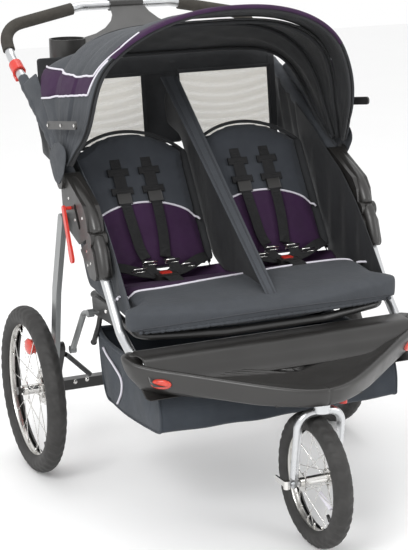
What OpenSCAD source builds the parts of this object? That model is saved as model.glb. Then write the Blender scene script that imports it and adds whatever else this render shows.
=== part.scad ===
// Side-by-side double jogging stroller, millimetres.
// +Z is up, -Y is the direction of travel, X is across; the origin is under the middle of the
// whole stroller, on the ground. Left means -X.

/* [Wheels] */
// Outer radius of the rear tyres
rear_wheel_r = 200; // [190:1:205]
// Outer radius of the front tyre
front_wheel_r = 146; // [130:1:148]
// Half the distance between the middles of the rear tyres
rear_track_half = 394; // [390:1:400]
// Section radius of the rear tyres
rear_tyre_r = 24; // [20:1:25]
// Section radius of the front tyre
front_tyre_r = 22; // [18:1:24]
// Height of the rear axle
rear_axle_z = 200; // [200:1:205]
// Distance of the rear axle behind the origin
rear_axle_y = 240; // [238:1:242]
// Distance of the front axle from the origin
front_axle_y = -448; // [-450:1:-446]
// Number of spokes in each wheel
spoke_count = 20; // [12:2:28]

/* [Frame tubes] */
// Radius of the front frame tubes
front_tube_r = 11; // [10:0.5:11.5]
// Radius of the handle tube
handle_tube_r = 11; // [10:0.5:11]
// Wall thickness of the frame tubes
tube_wall = 1.5; // [1:0.1:2.5]
// Half the distance between the two side frames
frame_x = 328; // [326:1:330]
// Radius of the fork tube
fork_tube_r = 9; // [8:0.5:10]

/* [Seat] */
// Half the width of the seat base between the tubes
seat_half_w = 300; // [290:1:303]
// Thickness of a padded seat back
back_thick = 26; // [18:1:28]
// Height of a seat back above its hinge
back_len = 352; // [330:1:360]
// Angle of the upright seat backs above the horizontal
back_angle = 57; // [54:1:60]

/* [Canopy] */
// Radius of the canopy about its hubs, over the seats
canopy_r = 350; // [340:1:352]
// Radius of the canopy's front edge in the middle
visor_r = 423; // [410:1:430]
// Half the width of the rear canopy section
canopy_half_w = 345.5; // [345:0.1:346]
// Thickness of the canopy cloth
cloth_t = 2; // [1.5:0.1:2.5]

/* [Console] */
// Radius of a cup holder's bore
cup_r = 40; // [36:0.5:42]
// Depth of a cup holder
cup_depth = 52; // [40:1:60]
// Distance of each cup holder from the middle
cup_x = 205; // [200:1:215]

/* [Hidden] */
$fn = 48;

gap = 0.3;                 // clearance between pieces that move past each other
seam = 0.1;                // clearance between pieces of one body
pivot = [-72, 622];        // (y, z) of the folding pivot between the housings
leg_pivot = [74, 640];     // (y, z) of the rear legs' pivot
hub = [85, 728];           // (y, z) of the canopy hubs
link_pivot = [-10, 442];   // (y, z) of the side links' pivot on the seat brackets
back_pivot = [50, 488];    // (y, z) of the seat backs' hinge tube
swivel_y = -478;           // y of the fork's swivel axis
disc_r = 17;               // radius of the hinge discs at the folding pivot
grip_r = 15;               // outer radius of the foam grips
layer_x = 336;             // x where the inner and the outer hinge layers meet
housing_in_x = 312;        // inner face of the housings
housing_out_x = 350;       // outer face of the housings
leg_in_x = 352;            // inner face of the rear legs
leg_out_x = 364;           // outer face of the rear legs
fork_half = 50;            // half the distance between the fork blades
back_top_r = 196;          // radius of the rounded top of a seat back
reflector_at = [290, -323.4, 356];
seat_mid_x = 152;          // middle of each seat
rear_canopy = [43, 72];    // angles of each canopy section about the hubs, from the horizontal
mid_canopy = [68, 100];
front_canopy = [96, 130];
visor_rake = 13;           // how much further forward the visor's edge reaches at the sides
shoulder = 0.42;           // exponent that squares the canopy's shoulders
nest = 4;                  // step between the nested canopy sections
canopy_inner_r = 36;       // where the canopy sides stop short of the hub discs

// ---- helpers ----

module left_side() { mirror([1, 0, 0]) children(); }
module both_sides() { children(); left_side() children(); }

// a 2-D shape drawn in (y, z), extruded from x0 to x1
module yz(x0, x1) { translate([x0, 0, 0]) rotate([90, 0, 90]) linear_extrude(x1 - x0) children(); }

// a 2-D slot shape between two points
module bar2d(a, b, r) {
    hull() { translate(a) circle(r); translate(b) circle(r); }
}

// a pin along X
module x_pin(at, x0, x1, r) { translate([x0, at[0], at[1]]) rotate([0, 90, 0]) cylinder(h = x1 - x0, r = r); }

function unit(v) = v / norm(v);
function turn(pts, i) = acos(unit(pts[i] - pts[i - 1]) * unit(pts[i + 1] - pts[i]));
function cut_len(pts, i, bend) =
    i == 0 || i == len(pts) - 1 ? 0 : bend * tan(turn(pts, i) / 2);
function any_normal(d) = unit(cross(d, abs(d[2]) < 0.9 ? [0, 0, 1] : [1, 0, 0]));

// a straight round rod between two points
module rod(a, b, r) {
    d = unit(b - a);
    u = any_normal(d);
    v = cross(d, u);
    multmatrix([[u[0], v[0], d[0], a[0]], [u[1], v[1], d[1], a[1]], [u[2], v[2], d[2], a[2]]])
        cylinder(h = norm(b - a), r = r);
}

// points along a route whose corners are rounded to the radius bend
function corner(pts, i, bend) =
    let (d_in = unit(pts[i] - pts[i - 1]), d_out = unit(pts[i + 1] - pts[i]), phi = turn(pts, i),
         n = unit(d_out - d_in * (d_in * d_out)), steps = max(1, ceil(phi / 9)),
         c = pts[i] - d_in * cut_len(pts, i, bend) + n * bend)
    [for (k = [0 : steps]) c + bend * (sin(phi * k / steps) * d_in - cos(phi * k / steps) * n)];
function rounded(pts, bend) = concat([pts[0]],
    [for (i = [1 : 1 : len(pts) - 2]) each corner(pts, i, bend)], [pts[len(pts) - 1]]);
// directions along a route, and the sideways vectors that turn with it without twisting
function heading(p, i) = i == 0 ? unit(p[1] - p[0]) : i == len(p) - 1 ? unit(p[i] - p[i - 1])
    : unit(unit(p[i] - p[i - 1]) + unit(p[i + 1] - p[i]));
function sideways(t, us) = len(us) == len(t) ? us
    : sideways(t, concat(us, [unit(us[len(us) - 1] - t[len(us)] * (us[len(us) - 1] * t[len(us)]))]));

// a round tube along a route; wall = 0 makes it solid
module bent_tube(pts, bend, r, wall = 0) {
    p = rounded(pts, bend);
    t = [for (i = [0 : len(p) - 1]) heading(p, i)];
    u = sideways(t, [any_normal(t[0])]);
    n = 24;
    m = len(p);
    function rings(rad) = [for (i = [0 : m - 1]) for (j = [0 : n - 1])
        p[i] + rad * (cos(360 * j / n) * u[i] + sin(360 * j / n) * cross(t[i], u[i]))];
    function quad(a, b, c, d) = [[a, b, c], [a, c, d]];
    o = m * n;
    e = (m - 1) * n;
    skin = [for (i = [0 : m - 2]) for (j = [0 : n - 1]) let (k = i * n + j, l = i * n + (j + 1) % n)
        each quad(k, k + n, l + n, l)];
    if (wall == 0) polyhedron(rings(r), concat(skin, [[for (j = [0 : n - 1]) j],
        [for (j = [n - 1 : -1 : 0]) e + j]]));
    else polyhedron(concat(rings(r), rings(r - wall)), concat(skin,
        [for (i = [0 : m - 2]) for (j = [0 : n - 1]) let (k = o + i * n + j, l = o + i * n + (j + 1) % n)
            each quad(k, l, l + n, k + n)],
        [for (j = [0 : n - 1]) let (l = (j + 1) % n) each quad(j, l, o + l, o + j)],
        [for (j = [0 : n - 1]) let (l = (j + 1) % n) each quad(e + l, e + j, o + e + j, o + e + l)]));
}

// ---- folding side housings ----

// the part of the (y, z) plane between two angles about a centre
module wedge2d(centre, a0, a1, reach = 400) {
    translate(centre) polygon([[0, 0], for (a = [a0 : (a1 - a0) / 4 : a1]) reach * [cos(a), sin(a)]]);
}

function front_path(s) = [[s * frame_x, -96, 556], [s * 325, -186, 439], [s * 318, -246, 396],
    [s * 262, -330, 366], [s * 95, -452, 341]];
// the space that a front tube takes out of the pieces it passes through
module front_tube_space() {
    p = front_path(1);
    for (i = [0 : len(p) - 2]) rod(p[i], p[i + 1], front_tube_r + 1);
    for (i = [1 : len(p) - 2]) translate(p[i]) sphere(front_tube_r + 1);
}

module upper_outline() {
    hull() {
        translate([hub[0] - 6, hub[1] - 4]) circle(20);
        translate([-34, 681]) circle(13);
        translate([-66, 640]) circle(13);
        translate([-10, 610]) circle(9);
        translate([70, 646]) circle(20);
    }
}
module lower_outline() {
    hull() {
        translate([-74, 620]) circle(15);
        translate([-20, 600]) circle(9);
        translate([-35, 591]) circle(9);
        translate([-100, 552]) circle(13);
        translate([-78, 549]) circle(10);
    }
}

// one hinge layer of a housing: the outline within its wedge and, in the layer that holds the
// pivot, the hinge disc; the other layer is cut back round that disc
module hinge_layer(a0, a1, has_disc) {
    if (has_disc) {
        intersection() { children(); wedge2d(pivot, a0, a1); }
        translate(pivot) circle(disc_r);
    } else difference() {
        intersection() { children(); wedge2d(pivot, a0, a1); }
        translate(pivot) circle(disc_r + gap);
    }
}

module upper_housings() {
    color("dimgray") both_sides() difference() {
        union() {
            yz(housing_in_x, layer_x - gap) hinge_layer(-29, 76, true) upper_outline();
            yz(layer_x - gap, housing_out_x) hinge_layer(-29, 76, false) upper_outline();
        }
        x_pin(pivot, housing_in_x - 1, housing_out_x + 1, 4.05);
        x_pin(leg_pivot, housing_in_x - 1, housing_out_x + 1, 4.05);
        rod(handle_half(1)[0] - [0, 8.7, 5], handle_half(1)[1], handle_tube_r + seam);
        yz(housing_in_x - 1, housing_out_x + 1) bar2d([8, 680], [-16, 642], 7);
    }
}
module lower_housings() {
    color("dimgray") both_sides() {
        difference() {
            union() {
                yz(housing_in_x, layer_x) hinge_layer(222, 330, false) lower_outline();
                yz(layer_x, housing_out_x) hinge_layer(222, 330, true) lower_outline();
            }
            rod(front_path(1)[0], front_path(1)[1], front_tube_r + seam);
        }
        x_pin(pivot, housing_in_x + 1, layer_x, 4);
    }
}

// small round rivet heads on the outer faces of the lower housings
module frame_rivets() {
    color("silver") both_sides()
        for (p = [[-62, 596], [-66, 566], [-84, 574]]) x_pin(p, housing_out_x, housing_out_x + 1.6, 3);
}

// ---- front frame ----

module front_tubes() {
    color("silver") both_sides() bent_tube(front_path(1), 60, front_tube_r, tube_wall);
}

module tray_plan(inset = 0) {
    offset(delta = -inset) polygon([[-330, -232], [-349, -246], [-349, -272], [-320, -300], [-256, -346],
        [-175, -418], [-110, -472], [-65, -500], [-30, -514], [0, -518], [30, -514], [65, -500], [110, -472],
        [175, -418], [256, -346], [320, -300], [349, -272], [349, -246], [330, -232]]);
}
module tray_side() {
    polygon([[-200, 320], [-200, 413], [-262, 413], [-330, 396], [-505, 370], [-540, 368], [-540, 320]]);
}
// a bowl with a floor over the steering head, open underneath
module front_tray() {
    color("dimgray") difference() {
        intersection() {
            translate([0, 0, 328]) linear_extrude(90) tray_plan();
            yz(-360, 360) tray_side();
        }
        translate([0, 0, 362]) linear_extrude(60) tray_plan(4);
        translate([0, 0, 320]) linear_extrude(38) tray_plan(4);
        both_sides() front_tube_space();
    }
}
module side_reflectors() {
    color("red") both_sides() translate([reflector_at[0], reflector_at[1], reflector_at[2]])
        rotate([0, 0, 35.7]) rotate([90, 0, 0]) linear_extrude(4) bar2d([-15, 0], [15, 0], 9);
}
// the bearing housing that joins the front tubes and holds the fork
module steering_head() {
    color("dimgray") difference() {
        union() {
            translate([0, swivel_y, 327]) cylinder(h = 30, r = 26);
            translate([-100, -470, 328]) cube([200, 30, 26]);
        }
        translate([0, swivel_y, 320]) cylinder(h = 50, r = 10.05);
        translate([40, -456, 320]) cylinder(h = 50, r = 3.05);
        both_sides() front_tube_space();
    }
}

// ---- seat ----

module seat_brackets() {
    color("black") both_sides() {
        yz(305, 311) difference() {
            hull() {
                translate([-118, 462]) circle(12);
                translate([-98, 446]) circle(12);
                translate([14, 442]) circle(12);
                translate([20, 462]) circle(10);
            }
            translate(link_pivot) circle(4.05);
        }
        x_pin([-118, 462], 301, 305, 7);
    }
}
module seat_frame() {
    color("silver") bent_tube([[-294, 62, 464], [-294, -60, 452], [-294, -215, 437], [-120, -262, 436],
        [120, -262, 436], [294, -215, 437], [294, -60, 452], [294, 62, 464]], 40, 9, tube_wall);
}
module seat_plan() {
    polygon([[-seat_half_w, 30], [-seat_half_w, -196], [-330, -206], [-334, -222], [-324, -242],
        [-290, -254], [-200, -274], [-100, -289], [0, -294], [100, -289], [200, -274], [290, -254],
        [324, -242], [334, -222], [330, -206], [seat_half_w, -196], [seat_half_w, 30]]);
}
module seat_base() {
    color("slategray") intersection() {
        translate([0, 0, 440]) linear_extrude(90) seat_plan();
        yz(-340, 340) polygon([[24, 476], [24, 486], [0, 491], [-105, 510], [-150, 508], [-260, 496],
            [-290, 486], [-298, 470], [-286, 452], [-262, 448], [-150, 456], [0, 468]]);
    }
}
// the cloth wall between the two seats
module centre_divider() {
    color("dimgray") yz(-3, 3) polygon([[-258, 500], [-108, 514], [0, 496], [60, 520], [236, 774],
        [330, 790], [334, 905], [300, 908], [-250, 508]]);
}
// cloth panels from the housings down beside the seats
module side_panels() {
    color("dimgray") both_sides() yz(302, 304.5) polygon([[-190, 476], [-150, 540], [-60, 640], [60, 716],
        [190, 800], [250, 800], [120, 600], [70, 500], [60, 488], [-100, 478]]);
}
module backrest_tube() {
    color("silver") x_pin(back_pivot, -299, 299, 8);
}
module seat_back(x0, x1) {
    mid = (x0 + x1) / 2;
    half = (x1 - x0) / 2;
    color("slategray") difference() {
        translate([mid, back_pivot[0], back_pivot[1]]) rotate([back_angle - 90, 0, 0])
            translate([0, back_thick / 2 - 9, 10]) rotate([90, 0, 0]) linear_extrude(back_thick)
                intersection() {
                    translate([-half, 0]) square([2 * half, back_len]);
                    union() {
                        translate([0, back_len - back_top_r]) circle(back_top_r, $fn = 64);
                        translate([-half, 0]) square([2 * half, back_len - back_top_r]);
                    }
                }
        x_pin(back_pivot, x0 - 5, x1 + 5, 8 + gap);
    }
    color("slategray") for (x = [mid - 90, mid + 60]) difference() {
        x_pin(back_pivot, x, x + 30, 13);
        x_pin(back_pivot, x - 1, x + 31, 8.05);
    }
}
module straps(x0) {
    color("black") translate([x0, back_pivot[0], back_pivot[1]]) rotate([back_angle - 90, 0, 0])
        for (x = [-52, 27]) translate([x, -back_thick / 2 - 9 - 5, 70]) cube([25, 4, 210]);
}
module buckle(x0) {
    color("black") translate([x0, -20, 0]) difference() {
        translate([-26, -22, 500]) cube([52, 44, 16]);
        translate([-13, -10, 506]) cube([26, 20, 11]);
    }
}
module buckle_button(x0) {
    color("red") translate([x0, -20, 0]) translate([-12.5, -9.5, 510]) cube([25, 19, 8]);
}

// ---- basket ----

module basket_outline(inset) {
    offset(delta = -inset) polygon([[72, 351], [26, 222], [-140, 226], [-300, 243], [-298, 300],
        [-290, 322], [-228, 324], [-226, 366], [-100, 362]]);
}
module basket() {
    color("slategray") difference() {
        yz(-284, 284) basket_outline(0);
        yz(-281, 281) basket_outline(3);
        translate([-270, -255, 300]) cube([540, 300, 100]);
    }
}
module basket_frame() {
    color("black") both_sides() {
        bent_tube([[292, 20, 445], [292, 44, 395], [292, 82, 345]], 20, 6);
        translate([292, 82, 345]) sphere(7.5);
    }
}

// ---- handle ----

// route of the handle tube, from the right housing up and over to the left one
function handle_half(s) = [[s * 328, 30, 700], [s * 330, 417, 919], [s * 330, 500, 960],
    [s * 330, 556, 1022], [s * 120, 579, 1062]];
handle_route = concat(handle_half(1), [for (i = [4 : -1 : 0]) handle_half(-1)[i]]);
function on_way(a, b, t) = a + (b - a) * t;

module handle_tube() {
    color("silver") bent_tube(handle_route, 60, handle_tube_r, tube_wall);
}
module grips() {
    h = handle_half(1);
    color("darkslategray") both_sides() {
        bent_tube([on_way(h[2], h[3], 0.2), h[3], on_way(h[3], h[4], 0.886)], 60, grip_r,
        grip_r - handle_tube_r - 0.4);
    }
}
// cup-holder console: a collar on the bar, an arm that widens downwards, and a tray with two cups
module console_arm_half() {
    polygon([[0, 0], [44, 0], for (a = [0 : 15 : 75]) [44 + 150 * (1 - cos(a)), 130 * sin(a)], [190, 150],
        [0, 150]]);
}
module console() {
    color("dimgray") difference() {
        union() {
            x_pin([579, 1062], -44, 44, 15);
            translate([0, 572, 1057]) rotate([31, 0, 0]) mirror([0, 1, 0]) linear_extrude(6)
                union() { console_arm_half(); mirror([1, 0]) console_arm_half(); }
            translate([-190, 405, 962]) cube([380, 60, 20]);
            both_sides() translate([cup_x, 440, 1000 - cup_depth - 4]) cylinder(h = cup_depth + 4, r = cup_r + 4);
        }
        both_sides() translate([cup_x, 440, 1000 - cup_depth]) cylinder(h = cup_depth + 90, r = cup_r);
        x_pin([579, 1062], -46, 46, handle_tube_r + seam);
        yz(-46, 46) polygon([[572, 1030], [610, 1030], [610, 1047], [572, 1047]]);
    }
}
// mesh panel with a cloth border behind the seats
module window_panel() {
    color("wheat") yz(-309, 309) polygon([[338, 742], [341, 742], [362, 940], [359, 940]]);
}

// ---- canopy ----

// a canopy section: a thin shell between two angles about the hubs, square-shouldered across
function super(c, p) = sign(c) * pow(abs(c), p);
function canopy_point(a, f, w, r) = [w * super(cos(f), shoulder), hub[0] + r * super(sin(f), shoulder) * cos(a),
    hub[1] + r * super(sin(f), shoulder) * sin(a)];
function ease(t) = let (c = min(1, max(0, t))) c * c * (3 - 2 * c);
module canopy_shell(a0, a1, w, r0, r1, rake = 0) {
    na = 9;
    nf = 28;
    f0 = asin(pow(canopy_inner_r / r0, 1 / shoulder));
    function radius(i) = r0 + (r1 - r0) * i / na;
    function last(f) = a1 - rake * ease((pow(sin(f), shoulder) - 0.3) / 0.4);
    function grid(t) = [for (i = [0 : na]) for (j = [0 : nf]) let (f = f0 + (180 - 2 * f0) * j / nf)
        canopy_point(a0 + (last(f) - a0) * i / na, f, w - t, radius(i) - t)];
    row = nf + 1;
    n = (na + 1) * row;
    function quad(a, b, c, d) = [[a, b, c], [a, c, d]];
    polyhedron(concat(grid(0), grid(cloth_t)), [
        for (i = [0 : na - 1]) for (j = [0 : nf - 1]) let (k = i * row + j) each concat(
            quad(k, k + 1, k + row + 1, k + row), quad(n + k, n + k + row, n + k + row + 1, n + k + 1)),
        for (j = [0 : nf - 1]) let (k = na * row + j) each concat(
            quad(j, n + j, n + j + 1, j + 1), quad(k, k + 1, n + k + 1, n + k)),
        for (i = [0 : na - 1]) let (k = i * row, e = i * row + nf) each concat(
            quad(k, k + row, n + k + row, n + k), quad(e, n + e, n + e + row, e + row))]);
}
module canopy_rear() {
    color("slategray") canopy_shell(rear_canopy[0], rear_canopy[1], canopy_half_w, canopy_r, canopy_r);
}
module canopy_mid() {
    color("slategray") canopy_shell(mid_canopy[0], mid_canopy[1], canopy_half_w + nest, canopy_r + nest,
        canopy_r + nest);
}
module canopy_front() {
    color("rebeccapurple") canopy_shell(front_canopy[0], front_canopy[1], canopy_half_w + 2 * nest,
        canopy_r + 2 * nest, visor_r, visor_rake);
}
// the bars that hold the bows at the sides of the front section
module canopy_clamps() {
    x = canopy_half_w + 2 * nest;
    color("black") both_sides() {
        yz(x + 0.2, x + 4) bar2d([-30, 866], [149, 842], 9);
        for (t = [0, 0.5, 1]) x_pin([-30 + 179 * t, 866 - 24 * t], x + 4, x + 5.5, 4);
    }
}
module hub_discs(x0, x1, r) {
    both_sides() difference() {
        x_pin(hub, x0, x1, r);
        x_pin(hub, x0 - 1, x1 + 1, 4.05);
    }
}
module canopy_mid_discs() { color("black") hub_discs(housing_out_x + gap, housing_out_x + 4, 20); }
module canopy_front_discs() { color("black") hub_discs(housing_out_x + 4.3, housing_out_x + 8, 20); }

// ---- release triggers and latches ----

module trigger() {
    h = handle_half(1);
    d = unit(h[2] - h[1]);
    a = h[1] + d * 20;
    color("red") difference() {
        union() {
            rod(a, a + d * 34, 16);
            translate([322, a[1] + 6, a[2] - 23]) rotate([26, 0, 0]) cube([16, 26, 14]);
        }
        rod(a - d * 30, a + d * 66, handle_tube_r + 0.6);
    }
}
module latch() {
    color("red") {
        yz(leg_out_x + 0.6, leg_out_x + 6) {
            hull() { translate([35, 674]) circle(7); translate([0, 590]) circle(8); }
            bar2d([0, 590], [-9, 570], 10);
        }
        x_pin([35, 674], housing_out_x + gap, leg_out_x + 0.6, 4);
    }
}

// ---- rear legs, axle and side links ----

module legs() {
    color("darkgray") both_sides() {
        yz(leg_in_x, leg_out_x) union() {
            bar2d(leg_pivot, [136, 463], 15);
            bar2d([136, 463], [161, 326], 15);
            bar2d([161, 326], [172, 292], 15);
        }
        x_pin(leg_pivot, housing_in_x + 4, leg_in_x, 4);
    }
}
module leg_feet() {
    color("black") both_sides() {
        yz(338, leg_in_x - seam) difference() {
            hull() {
                translate([165, 316]) circle(14);
                translate([rear_axle_y, rear_axle_z]) circle(26);
                translate([268, 222]) circle(12);
            }
            translate([268, 222]) circle(4.05);
        }
        x_pin([rear_axle_y, rear_axle_z], leg_in_x - seam, 424, 6);
        x_pin([rear_axle_y, rear_axle_z], 424.4, 432, 9.5);
    }
}
module axle_beam() {
    color("black") difference() {
        translate([-337.9, rear_axle_y - 12.5, rear_axle_z - 12.5]) cube([675.8, 25, 25]);
        translate([-340, rear_axle_y - 10.5, rear_axle_z - 10.5]) cube([680, 21, 21]);
    }
}
module axle_braces() {
    color("black") both_sides() bent_tube([[332, 172, 296], [324, 178, 290], [256, 222, 222]], 12, 6, 1.2);
}
module side_links() {
    color("darkgray") both_sides() {
        bent_tube([[330, -10, 442], [330, 34, 431], [330, 120, 324]], 25, 7);
        x_pin(link_pivot, 323, 337, 9);
        x_pin([122, 322], 323, 337, 9);
        x_pin(link_pivot, 304, 323, 4);
    }
}
// pedal that pushes a pin between the ribs of the brake disc
module brake_pedal() {
    color("red") {
        yz(318, 337.4) bar2d([268, 222], [316, 208], 9);
        yz(300, 337.4) bar2d([310, 210], [322, 206], 11);
        x_pin([268, 222], 337.4, 350, 4);
    }
}

// ---- wheels ----

// a wheel at the origin with its axle along X
module wheel_tyre(r, sec) {
    rotate([0, 90, 0]) rotate_extrude($fn = 96) difference() {
        translate([r - sec, 0]) circle(sec);
        translate([r - 2 * sec - 8, -sec]) square([sec * 0.9 + 8, 2 * sec]);
        translate([r - sec, 0]) circle(sec - 4);
    }
}
module wheel_rim(r, sec) {
    bed = r - 1.1 * sec - 0.1;
    rotate([0, 90, 0]) rotate_extrude($fn = 96) polygon([[bed, -sec * 0.62], [bed, sec * 0.62],
        [bed - 6, sec * 0.62], [bed - 14, sec * 0.3], [bed - 14, -sec * 0.3], [bed - 6, -sec * 0.62]]);
}
module wheel_hub(half, barrel, flange, bore) {
    rotate([0, 90, 0]) difference() {
        union() {
            translate([0, 0, -half]) cylinder(h = 2 * half, r = barrel);
            for (z = [-half + 8, half - 10]) translate([0, 0, z]) cylinder(h = 2, r = flange);
        }
        translate([0, 0, -half - 1]) cylinder(h = 2 * half + 2, r = bore);
    }
}
module wheel_spokes(r_in, r_out, half) {
    for (i = [0 : spoke_count - 1]) {
        s = i % 2 == 0 ? 1 : -1;
        a = 360 * i / spoke_count;
        lead = (i % 4 < 2 ? 1 : -1) * 50;
        rod([s * half, r_in * cos(a + lead), r_in * sin(a + lead)],
            [s * 2, r_out * cos(a), r_out * sin(a)], 1, $fn = 16);
    }
}
// the ribbed disc that the brake pin locks into
module brake_disc(x0, x1, r) {
    yz(x0, x1) difference() {
        union() {
            circle(r - 8);
            for (a = [0 : 60 : 300]) rotate(a) translate([r - 12, 0]) circle(9);
        }
        circle(6.05);
    }
}
module at_rear_axle() { translate([0, rear_axle_y, rear_axle_z]) children(); }
module at_front_axle() { translate([0, front_axle_y, front_wheel_r]) children(); }

module rear_tyre() { color("#2b2b2b") at_rear_axle() translate([rear_track_half, 0, 0])
    wheel_tyre(rear_wheel_r, rear_tyre_r); }
module rear_rim() { color("silver") at_rear_axle() translate([rear_track_half, 0, 0])
    wheel_rim(rear_wheel_r, rear_tyre_r); }
module rear_hub() {
    color("silver") at_rear_axle() {
        translate([rear_track_half, 0, 0]) wheel_hub(27, 12, 26, 6.05);
        brake_disc(rear_track_half - 27.5, rear_track_half - 22, 46);
    }
}
module rear_spokes() {
    color("silver") at_rear_axle() translate([rear_track_half, 0, 0])
        wheel_spokes(20, rear_wheel_r - 1.1 * rear_tyre_r - 14.2, 16);
}

// ---- fork and front wheel ----

module fork() {
    color("silver") {
        bent_tube([[-fork_half, front_axle_y - 3, 160], [-fork_half, -474, 306], [fork_half, -474, 306],
            [fork_half, front_axle_y - 3, 160]], 32, fork_tube_r);
        for (x = [-fork_half - 3, fork_half - 3])
            yz(x, x + 6) bar2d([front_axle_y, front_wheel_r], [front_axle_y - 3, 166], 11);
        x_pin([front_axle_y, front_wheel_r], -fork_half - 8, fork_half + 8, 5);
        translate([0, swivel_y, 306]) cylinder(h = 19.7, r = 18);
        translate([0, swivel_y, 306]) cylinder(h = 46, r = 10);
    }
}
module swivel_lock() {
    color("red") translate([40, -456, 0]) {
        translate([0, 0, 317]) linear_extrude(9) bar2d([0, 0], [12, -20], 8);
        translate([0, 0, 320]) cylinder(h = 20, r = 3);
    }
}
module quick_release() {
    color("silver") {
        translate([-66, front_axle_y, front_wheel_r - 9]) cylinder(h = 18, r = 7);
        translate([-70, front_axle_y + 5, front_wheel_r - 6]) cube([4, 42, 12]);
    }
}
module front_tyre() { color("#2b2b2b") at_front_axle() wheel_tyre(front_wheel_r, front_tyre_r); }
module front_rim() { color("silver") at_front_axle() wheel_rim(front_wheel_r, front_tyre_r); }
module front_hub() { color("silver") at_front_axle() wheel_hub(40, 10, 20, 5.05); }
module front_spokes() {
    color("silver") at_front_axle() wheel_spokes(15, front_wheel_r - 1.1 * front_tyre_r - 14.2, 29);
}

front_tubes();
lower_housings();
front_tray();
side_reflectors();
steering_head();
seat_brackets();
seat_frame();
seat_base();
basket();
basket_frame();
centre_divider();
side_panels();
frame_rivets();
buckle(-seat_mid_x);  // buckle_left
buckle(seat_mid_x);  // buckle_right
upper_housings();
handle_tube();
grips();
console();
window_panel();
canopy_rear();
canopy_clamps();
legs();
axle_beam();
axle_braces();
leg_feet();
side_links();
left_side() trigger();  // trigger_left
trigger();  // trigger_right
left_side() latch();  // latch_left
latch();  // latch_right
canopy_mid_discs();
canopy_front_discs();
canopy_mid();
canopy_front();
backrest_tube();
seat_back(-292, -12);  // seat_back_left
seat_back(12, 292);  // seat_back_right
straps(-seat_mid_x);  // straps_left
straps(seat_mid_x);  // straps_right
buckle_button(-seat_mid_x);  // buckle_button_left
buckle_button(seat_mid_x);  // buckle_button_right
fork();
swivel_lock();
quick_release();
front_tyre();
front_rim();
front_hub();
front_spokes();
left_side() rear_tyre();  // left_tyre
left_side() rear_rim();  // left_rim
left_side() rear_hub();  // left_hub
left_side() rear_spokes();  // left_spokes
left_side() brake_pedal();  // left_brake_pedal
rear_tyre();  // right_tyre
rear_rim();  // right_rim
rear_hub();  // right_hub
rear_spokes();  // right_spokes
brake_pedal();  // right_brake_pedal
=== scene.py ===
"""Side-by-side double jogging stroller: looks for the CAD frame. Lengths are in mm until a mesh is made."""
import math

import bmesh
import bpy
import numpy as np
from mathutils import Matrix, Vector
from mathutils.bvhtree import BVHTree


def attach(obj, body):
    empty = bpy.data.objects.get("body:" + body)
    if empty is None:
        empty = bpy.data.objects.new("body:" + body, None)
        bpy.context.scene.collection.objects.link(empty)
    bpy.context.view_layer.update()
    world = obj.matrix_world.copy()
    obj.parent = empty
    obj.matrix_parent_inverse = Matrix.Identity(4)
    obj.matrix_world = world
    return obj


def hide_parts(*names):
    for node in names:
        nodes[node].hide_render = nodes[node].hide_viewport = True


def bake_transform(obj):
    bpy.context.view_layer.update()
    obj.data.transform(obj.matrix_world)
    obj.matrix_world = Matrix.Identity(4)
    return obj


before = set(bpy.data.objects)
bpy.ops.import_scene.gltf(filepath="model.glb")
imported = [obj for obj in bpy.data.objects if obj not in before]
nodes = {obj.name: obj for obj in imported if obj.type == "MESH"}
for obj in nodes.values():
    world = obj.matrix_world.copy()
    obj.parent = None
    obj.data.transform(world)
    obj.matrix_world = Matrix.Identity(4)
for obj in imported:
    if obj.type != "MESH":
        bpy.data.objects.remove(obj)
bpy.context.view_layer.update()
scene = bpy.context.scene
scene.view_settings.view_transform = "Standard"

# ---- camera, floor, light ----

yaw, pitch, roll = (math.radians(d) for d in (-23.5906, 14.5136, -1.0848))
back = Vector((math.sin(yaw) * math.cos(pitch), -math.cos(yaw) * math.cos(pitch), math.sin(pitch)))
level = Vector((math.cos(yaw), math.sin(yaw), 0))
lift = back.cross(level)
right = math.cos(roll) * level + math.sin(roll) * lift
up = -math.sin(roll) * level + math.cos(roll) * lift
cam = bpy.data.objects.new("camera", bpy.data.cameras.new("camera"))
cam.data.lens, cam.data.sensor_width = 104.03, 36
cam.data.clip_end = 60
cam.matrix_world = Matrix((right, up, back)).transposed().to_4x4()
cam.location = (-1.4546, -3.2183, 1.4019)
scene.collection.objects.link(cam)
scene.camera = cam


def area_light(name, at, target, size, power, colour=(1, 1, 1)):
    lamp = bpy.data.objects.new(name, bpy.data.lights.new(name, "AREA"))
    lamp.data.size, lamp.data.energy, lamp.data.color = size, power, colour
    lamp.location = at
    lamp.rotation_euler = (Vector(target) - Vector(at)).to_track_quat("-Z", "Y").to_euler()
    scene.collection.objects.link(lamp)


area_light("key", (-2.6, -2.4, 3.0), (0, 0, 0.6), 1.6, 80)
area_light("fill", (2.8, -2.6, 1.6), (0, 0, 0.6), 2.0, 30)
area_light("top", (0.2, 0.6, 3.2), (0, 0, 0.8), 1.8, 22)
world = bpy.data.worlds.new("studio")
world.use_nodes = True
world.node_tree.nodes["Background"].inputs[0].default_value = (1, 1, 1, 1)
world.node_tree.nodes["Background"].inputs[1].default_value = 1.0
scene.world = world

# ---- materials ----


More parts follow.
